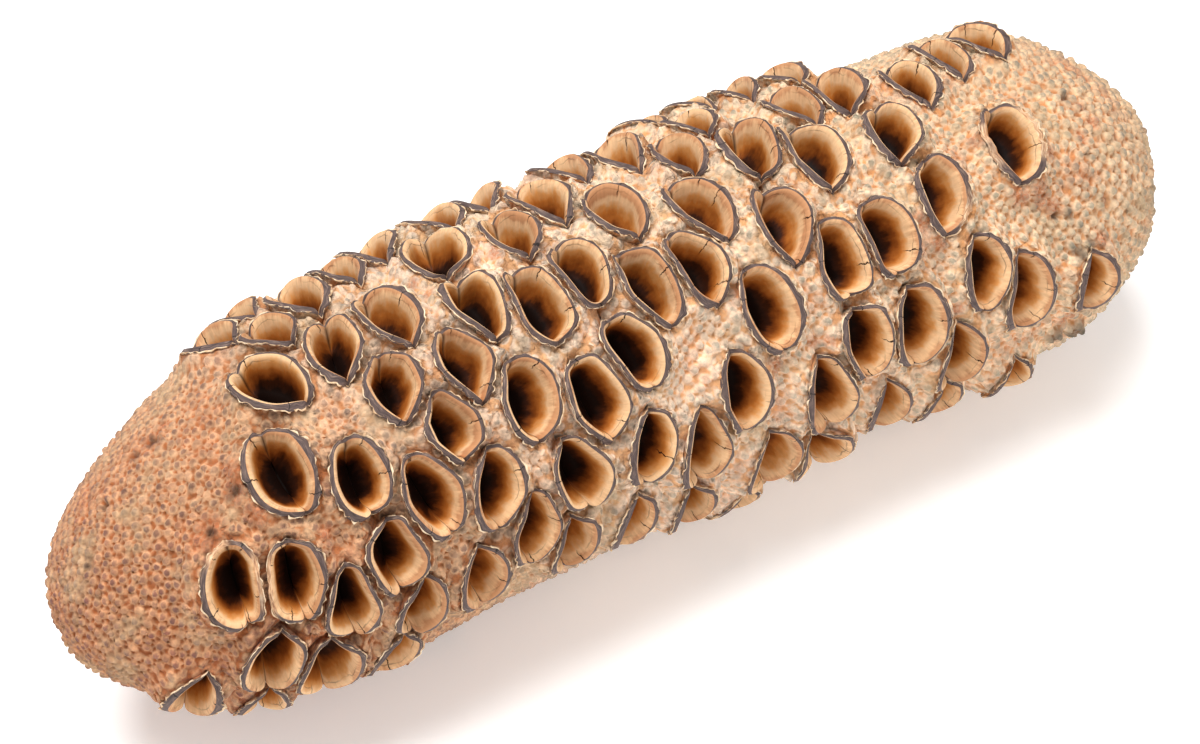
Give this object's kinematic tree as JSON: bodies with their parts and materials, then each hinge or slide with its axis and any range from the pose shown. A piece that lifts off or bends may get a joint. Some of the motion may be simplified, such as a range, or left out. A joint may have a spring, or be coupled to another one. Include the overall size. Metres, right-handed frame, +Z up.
{
  "type": "banksia cone",
  "caption": "Woody banksia seed cone on its side: a long round-ended body set with open two-valved follicles, with felted knobs between them and over both ends.",
  "frame": {"origin": "centre of the cone's footprint, on the surface it lies on", "axes": "+X along the cone from its tip to its base, +Z up"},
  "size_m": [0.25, 0.079, 0.0775],
  "materials": {
    "cone_wood": "matt, weathered, felted between the follicles"
  },
  "bodies": {
    "root": {"cone": "cone_wood"}
  },
  "joints": []
}
